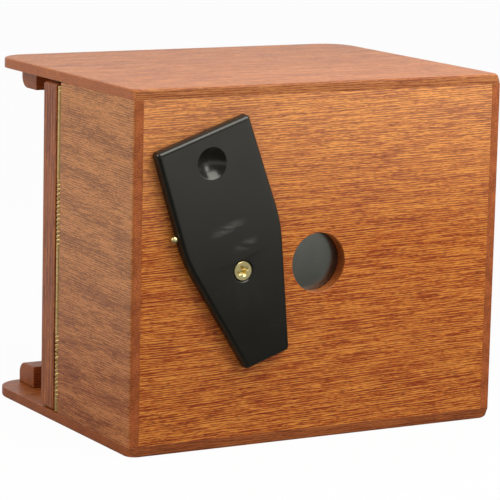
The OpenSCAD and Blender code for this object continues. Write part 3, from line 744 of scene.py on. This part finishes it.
def knuckle_tree():
    """Knuckles and their tabs along the pin, with fine turned marks round the barrel."""
    tree, given, result = node_tree("knuckles_along_the_pin", (
        ("Radius", "Float"), ("Length", "Float"), ("Pitch", "Float"), ("Count", "Int"), ("Start", "Vector"),
        ("Mark depth", "Float"), ("Tab size", "Vector"), ("Tab place", "Vector")))
    tube = put(tree, "GeometryNodeMeshCylinder", {"fill_type": "NGON"}, {
        "Vertices": 28, "Side Segments": 24, "Radius": given["Radius"], "Depth": given["Length"]})
    step = put(tree, "ShaderNodeCombineXYZ", None, {"Z": given["Pitch"]})
    row = put(tree, "GeometryNodeMeshLine", None, {
        "Count": given["Count"], "Start Location": given["Start"], "Offset": step})
    many = put(tree, "GeometryNodeInstanceOnPoints", None, {"Points": row, "Instance": tube})
    real = put(tree, "GeometryNodeRealizeInstances", None, {"Geometry": many})
    tab = put(tree, "GeometryNodeMeshCube", None, {"Size": given["Tab size"]})
    tab = put(tree, "GeometryNodeTransform", None, {"Geometry": tab, "Translation": given["Tab place"]})
    tabs = put(tree, "GeometryNodeInstanceOnPoints", None, {"Points": row, "Instance": tab})
    tabs = put(tree, "GeometryNodeRealizeInstances", None, {"Geometry": tabs})

    # The marks follow a cosine of the height. They are sharp round SHARP_AT and every SHARP_STEP from it.
    place = put(tree, "GeometryNodeInputPosition")
    height = put(tree, "ShaderNodeSeparateXYZ", None, {0: place}, "Z")
    wave = put(tree, "ShaderNodeMath", {"operation": "MULTIPLY"}, {
        0: height, 1: 2 * math.pi / (MARK_STEP * MM)})
    wave = put(tree, "ShaderNodeMath", {"operation": "COSINE"}, {0: wave})
    notch = put(tree, "ShaderNodeMapRange", {"clamp": True}, {
        "Value": wave, "From Min": 0.35, "From Max": 0.95})
    worn = put(tree, "ShaderNodeMath", {"operation": "MULTIPLY"}, {
        0: height, 1: 2 * math.pi / (SHARP_STEP * MM)})
    worn = put(tree, "ShaderNodeMath", {"operation": "ADD"}, {
        0: worn, 1: math.pi - 2 * math.pi * SHARP_AT / SHARP_STEP})
    worn = put(tree, "ShaderNodeMath", {"operation": "COSINE"}, {0: worn})
    marked = put(tree, "ShaderNodeMapRange", {"clamp": True}, {
        "Value": worn, "From Min": -0.1, "From Max": -0.7, "To Min": 0.12, "To Max": 1.0})
    depth = put(tree, "ShaderNodeMath", {"operation": "MULTIPLY"}, {0: notch, 1: marked})
    depth = put(tree, "ShaderNodeMath", {"operation": "MULTIPLY"}, {0: depth, 1: given["Mark depth"]})
    axis = put(tree, "ShaderNodeVectorMath", {"operation": "MULTIPLY"}, {0: given["Start"], 1: (1, 1, 0)})
    from_axis = put(tree, "ShaderNodeVectorMath", {"operation": "SUBTRACT"}, {0: place, 1: axis})
    from_axis = put(tree, "ShaderNodeVectorMath", {"operation": "MULTIPLY"}, {0: from_axis, 1: (-1, -1, 0)})
    inward = put(tree, "ShaderNodeVectorMath", {"operation": "NORMALIZE"}, {0: from_axis})
    push = put(tree, "ShaderNodeVectorMath", {"operation": "SCALE"}, {0: inward, "Scale": depth})
    shaped = put(tree, "GeometryNodeSetPosition", None, {"Geometry": real, "Offset": push})
    smooth = put(tree, "GeometryNodeSetShadeSmooth", None, {"Geometry": shaped})
    both = tree.nodes.new("GeometryNodeJoinGeometry")
    for geometry in (smooth, tabs):
        tree.links.new(geometry, both.inputs[0])
    done = put(tree, "GeometryNodeSetMaterial", None, {"Geometry": both.outputs[0], "Material": hinge_brass})
    tree.links.new(done, result)
    return tree


def hinge_knuckles(body, first, node):
    """Every second knuckle of the hinge, the tabs it hangs on and the strip in its kerf, as one mesh."""
    low, high = box_mm("hinge_pin")
    whole_low, whole_high = box_mm(node)
    axis_x, axis_y = (low.x + high.x) / 2, (low.y + high.y) / 2
    hair = 0.01
    radius = (whole_high.x - whole_low.x) / 2 - hair
    pitch = (high.z - low.z) / KNUCKLES
    side = -1 if body == "case" else 1
    near, far = LEAF_INNER * side, (BARREL_CLEAR + TAB_LAP) * side
    row_verts, row_faces = grown(knuckle_tree(), {
        "Radius": radius * MM, "Length": (pitch - KNUCKLE_GAP) * MM, "Pitch": 2 * pitch * MM,
        "Count": KNUCKLES // 2, "Mark depth": MARK_DEPTH * MM,
        "Tab size": [LEAF_T * MM, abs(far - near) * MM, (pitch - KNUCKLE_GAP) * MM],
        "Tab place": [0, (near + far) / 2 * MM, 0],
        "Start": [axis_x * MM, axis_y * MM, (low.z + (first + 0.5) * pitch) * MM]})

    # The strip in its kerf
    half, ease = LEAF_T / 2, 0.05
    span = (whole_low.y, axis_y - BARREL_CLEAR) if side < 0 else (axis_y + BARREL_CLEAR, whole_high.y)
    strip = rounded_rectangle(axis_x - half, axis_x + half, *span, (ease,) * 4)
    verts, faces = plate_mesh(eased_rings(strip, high.z - low.z, ease, ease, 1))
    base = len(verts)
    verts = [Vector(v) + Z * low.z for v in verts] + row_verts
    faces = list(faces) + [[base + i for i in face] for face in row_faces]
    piece("hinge_row_" + body, (verts, faces), Matrix.Identity(4), body, hinge_brass,
          [node], sharp=50)


hinge_knuckles("case", 0, "hinge_leaf_box")
hinge_knuckles("door", 1, "hinge_leaf_door")


# Springs, small screws and tripod insert

def leaf_spring(name, node):
    """Rolled bronze leaf: a flat foot on the batten, an arc towards the door and a curled tip.

    It rides on the case and gets a mesh of its own; the real leaf flattens as the door opens.
    """
    low, high = box_mm(node)
    half, foot = SPRING_T / 2, high.y - SPRING_T / 2
    drop = high.y - low.y - SPRING_T
    bend, curl = math.radians(SPRING_BEND), math.radians(SPRING_CURL)
    radius = drop / (1 - math.cos(bend)) - SPRING_TIP_R
    tip = (SPRING_FOOT_END + (radius + SPRING_TIP_R) * math.sin(bend), foot - drop + SPRING_TIP_R)

    def line(off):
        points = [(low.x, foot + off)]
        wide, tight = radius + off, SPRING_TIP_R - off
        for i in range(25):
            a = bend * i / 24
            points.append((SPRING_FOOT_END + wide * math.sin(a), foot - radius + wide * math.cos(a)))
        for i in range(1, 17):
            a = -bend + (bend + curl) * i / 16
            points.append((tip[0] + tight * math.sin(a), tip[1] - tight * math.cos(a)))
        return points

    outline = line(-half) + line(half)[::-1]
    shape = plate_mesh(eased_rings(outline, high.z - low.z, 0.1, 0.1, 2))
    made = piece(name, shape, axes((0, 0, low.z), X, Y, Z), "case", bronze, [node], sharp=60)
    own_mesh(made)


def pan_head_screw(head_r, head_h, shank_r, shank_l):
    """Small pan-head wood screw with a cross recess, its head's underside at height 0."""
    rings = [(shank_r * 0.3, -shank_l), (shank_r, -shank_l + 2), (shank_r, 0), (head_r - 0.1, 0),
             (head_r, 0.1), (head_r, 0.35 * head_h), (head_r * 0.94, 0.62 * head_h),
             (head_r * 0.8, 0.86 * head_h), (head_r * 0.62, head_h)]
    rim = [(circle((0, 0), r, 32), h) for r, h in rings]
    recess = [(cross_outline(0.14 * head_r, 0.07 * head_r), 0.3 * head_h),
              (cross_outline(0.44 * head_r, 0.12 * head_r), 0.7 * head_h),
              (cross_outline(0.52 * head_r, 0.14 * head_r), head_h)]
    return plate_mesh(rim, [recess])


def screws_at_corners(name, node, screw, head_r, seat, facing):
    """Four screws at the corners of the node's box, each turned a little differently."""
    low, high = box_mm(node)
    verts, faces = screw
    turn = axes((0, 0, 0), X, facing.cross(X), facing)
    mesh = bpy.data.meshes.new(name + "_one")
    mesh.from_pydata([turn @ Vector(v) * MM for v in verts], [], faces)
    mesh.shade_smooth()
    mesh.set_sharp_from_angle(angle=math.radians(35))
    one = add_object(name + "_one", mesh)
    tree, given, result = node_tree("screws_at_four_corners", (
        ("Screw", "Object"), ("Width", "Float"), ("Height", "Float"), ("Centre", "Vector")))
    grid = put(tree, "GeometryNodeMeshGrid", None, {
        "Size X": given["Width"], "Size Y": given["Height"], "Vertices X": 2, "Vertices Y": 2})
    grid = put(tree, "GeometryNodeTransform", None, {
        "Geometry": grid, "Rotation": (math.pi / 2, 0, 0), "Translation": given["Centre"]})
    turn_step = 0.7
    number = put(tree, "GeometryNodeInputIndex")
    angle = put(tree, "ShaderNodeMath", {"operation": "MULTIPLY"}, {0: number, 1: turn_step})
    spin = put(tree, "ShaderNodeCombineXYZ", None, {"Y": angle})
    source = put(tree, "GeometryNodeObjectInfo", None, {"Object": given["Screw"]}, "Geometry")
    many = put(tree, "GeometryNodeInstanceOnPoints", None, {
        "Points": grid, "Instance": source, "Rotation": spin})
    real = put(tree, "GeometryNodeRealizeInstances", None, {"Geometry": many})
    done = put(tree, "GeometryNodeSetMaterial", None, {"Geometry": real, "Material": screw_brass})
    tree.links.new(done, result)
    shape = grown(tree, {
        "Screw": one, "Width": (high.x - low.x - 2 * head_r) * MM,
        "Height": (high.z - low.z - 2 * head_r) * MM,
        "Centre": [(low.x + high.x) / 2 * MM, seat * MM, (low.z + high.z) / 2 * MM]})
    bpy.data.objects.remove(one)
    piece(name, shape, Matrix.Identity(4), "case", screw_brass, [node], sharp=35)


def tripod_insert():
    """Brass insert with a flange below and a real right-handed thread of 20 turns to the inch in its bore."""
    low, high = box_mm("tripod_insert")
    centre = middle("tripod_insert")
    length, steps, per_turn, mouth_ease = high.z - low.z, 40, 8, 0.7
    rim = [(circle((0, 0), r, 64), h) for r, h in (
        (FLANGE_R - 0.2, 0), (FLANGE_R, 0.2), (FLANGE_R, FLANGE_T - 0.15), (FLANGE_R - 0.15, FLANGE_T),
        (INSERT_R, FLANGE_T), (INSERT_R, length - 0.3), (INSERT_R - 0.3, length))]
    bore = []
    levels = int(length / THREAD_PITCH * per_turn)
    for k in range(levels + 1):
        height = length * k / levels
        ends = min(1.0, height / THREAD_PITCH, (length - height) / THREAD_PITCH)
        mouth = max(0.0, mouth_ease - min(height, length - height))
        points = []
        for x, y in circle((0, 0), 1.0, steps):
            turn = math.atan2(y, x) / (2 * math.pi)
            wave = abs(((height / THREAD_PITCH - turn) % 1.0) * 2 - 1)
            r = THREAD_R + THREAD_DEPTH * ends * min(1.0, max(0.0, 1.3 * wave - 0.15)) + mouth
            points.append((x * r, y * r))
        bore.append((points, height))
    piece("tripod_thread_insert", plate_mesh(rim, [bore]), axes((centre.x, centre.y, low.z), X, Y, Z),
          "case", screw_brass, ["tripod_insert"], sharp=30)


leaf_spring("lower_leaf_spring", "lower_spring")
leaf_spring("upper_leaf_spring", "upper_spring")
screws_at_corners("retainer_pan_screws", "retainer_screws", pan_head_screw(2.0, 1.2, 1.1, 5.0), 2.0,
                  box_mm("retainer_screws")[1].y - 1.2, Y)
screws_at_corners("spring_pan_screws", "spring_screws", pan_head_screw(2.3, 1.6, 1.2, 8.4), 2.3,
                  box_mm("spring_screws")[0].y + 1.6, -Y)
tripod_insert()


# Nodes that keep their CAD shape, with their finish

for node, material in {
    "corner_post_top_left": inner_wood, "corner_post_top_right": inner_wood,
    "corner_post_bottom_left": inner_wood, "corner_post_bottom_right": inner_wood,
    "pivot_block": inner_wood, "tripod_block": inner_wood,
    "film_frame": black_ply, "lower_runner": black_ply, "upper_runner": black_ply,
    "pinhole_retainer": black_ply, "light_seal": felt, "pinhole_plate": shim,
    "pivot_washer": nylon, "hinge_pin": hinge_brass,
}.items():
    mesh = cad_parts[node].data
    mesh.materials.clear()
    mesh.materials.append(material)


# Stage: floor, world, lamps and camera

def floor():
    """Large pale sheet that shows as white from the camera and still takes the object's shadow.

    In reflections it is white behind the object, dim close in front of it, and paler again further out.
    """
    mesh = bpy.data.meshes.new("studio_floor")
    half = 6.0
    corners = [(-half, -half, 0), (half, -half, 0), (half, half, 0), (-half, half, 0)]
    mesh.from_pydata(corners, [], [(0, 1, 2, 3)])
    material, tree, shader, place = blank_material("paper_white_floor")
    feed(tree, shader, {"Base Color": linear("#DADAD8"), "Roughness": 0.9})
    rays = put(tree, "ShaderNodeLightPath", out=None).outputs
    glow = put(tree, "ShaderNodeEmission", None, {"Color": (1, 1, 1, 1), "Strength": 1.0})
    depth = put(tree, "ShaderNodeSeparateXYZ", None, {0: place}, "Y")
    behind = put(tree, "ShaderNodeMapRange", {"clamp": True}, {
        "Value": depth, "From Min": -0.1, "From Max": 0.3})
    mirrored = put(tree, "ShaderNodeMath", {"operation": "MULTIPLY"}, {0: rays["Is Glossy Ray"], 1: behind})
    seen = put(tree, "ShaderNodeMath", {"operation": "MAXIMUM"}, {0: rays["Is Camera Ray"], 1: mirrored})
    seen = put(tree, "ShaderNodeMath", {"operation": "MAXIMUM"}, {0: seen, 1: rays["Is Transmission Ray"]})

    # A little of the lit sheet stays under the white, so that it takes the object's shadow
    share = put(tree, "ShaderNodeMath", {"operation": "MULTIPLY"}, {0: seen, 1: 0.97})
    dim = put(tree, "ShaderNodeMath", {"operation": "SUBTRACT"}, {0: rays["Is Glossy Ray"], 1: mirrored})
    front = put(tree, "ShaderNodeMapRange", {"clamp": True}, {
        "Value": depth, "From Min": -0.30, "From Max": -0.80, "To Min": 0.06, "To Max": 1.3})
    dark = put(tree, "ShaderNodeEmission", None, {"Color": (1, 1, 1, 1), "Strength": front})
    lit = put(tree, "ShaderNodeMixShader", None, {0: dim, 1: shader.outputs["BSDF"], 2: dark})
    mixed = put(tree, "ShaderNodeMixShader", None, {0: share, 1: lit, 2: glow})
    feed(tree, tree.nodes["Material Output"], {"Surface": mixed})
    mesh.materials.append(material)
    sheet = add_object("studio_floor", mesh)


def world_light(strength):
    """Even white surroundings as light. In reflections they are white behind the object and dim in front."""
    world = bpy.data.worlds.new("studio_white")
    bpy.context.scene.world = world
    world.use_nodes = True
    tree = world.node_tree
    tree.nodes.clear()
    rays = put(tree, "ShaderNodeLightPath", out=None).outputs
    seen = put(tree, "ShaderNodeMath", {"operation": "MAXIMUM"}, {
        0: rays["Is Camera Ray"], 1: rays["Is Transmission Ray"]})
    direction = put(tree, "ShaderNodeTexCoord", out="Generated")
    depth = put(tree, "ShaderNodeSeparateXYZ", None, {0: direction}, "Y")
    backdrop = put(tree, "ShaderNodeMapRange", {"clamp": True}, {
        "Value": depth, "From Min": -0.25, "From Max": 0.3, "To Min": 0.16, "To Max": 1.0})
    level = put(tree, "ShaderNodeMix", {"data_type": "FLOAT"}, {
        "Factor": rays["Is Glossy Ray"], "A": strength, "B": backdrop})
    level = put(tree, "ShaderNodeMix", {"data_type": "FLOAT"}, {"Factor": seen, "A": level, "B": 1.0})
    back = put(tree, "ShaderNodeBackground", None, {"Color": (1, 1, 1, 1), "Strength": level})
    put(tree, "ShaderNodeOutputWorld", None, {"Surface": back}, None)


def softbox(name, place, target, size, power):
    """An area lamp aimed at a point, with its place and size in metres and its power in watts."""
    lamp = bpy.data.lights.new(name, "AREA")
    lamp.shape = "RECTANGLE"
    lamp.size, lamp.size_y = size
    lamp.energy = power
    holder = add_object(name, lamp)
    holder.location = place
    holder.rotation_euler = (Vector(target) - Vector(place)).to_track_quat("-Z", "Y").to_euler()


def camera():
    """Camera at the photograph's place: turned 30 degrees to the left, 10 degrees up, slightly rolled."""
    azimuth, elevation, roll = (math.radians(a) for a in (-29.82, 10.06, 1.34))
    back = Vector((math.sin(azimuth) * math.cos(elevation), -math.cos(azimuth) * math.cos(elevation),
                   math.sin(elevation)))
    target = Vector((-29.6, -56.55, 72.56)) * MM
    distance = 1.0154
    data = bpy.data.cameras.new("photo_camera")
    data.sensor_width = 36.0
    data.lens = 202.6
    data.clip_start, data.clip_end = 0.05, 50
    holder = add_object("photo_camera", data)
    holder.location = target + back * distance
    holder.rotation_mode = "QUATERNION"
    level = back.to_track_quat("Z", "Y")
    holder.rotation_quaternion = level @ Matrix.Rotation(roll, 3, "Z").to_quaternion()
    bpy.context.scene.camera = holder


floor()
world_light(0.24)
softbox("key_softbox", (0.36, -0.44, 0.26), (-0.01, -0.05, 0.08), (0.2, 0.2), 0.74)
softbox("overhead_softbox", (0.07, -0.24, 0.40), (-0.01, -0.04, 0.11), (0.36, 0.28), 1.56)
softbox("left_fill_softbox", (-0.50, -0.03, 0.40), (-0.07, 0.01, 0.08), (0.3, 0.3), 1.14)
camera()
bpy.context.scene.view_settings.view_transform = "Standard"
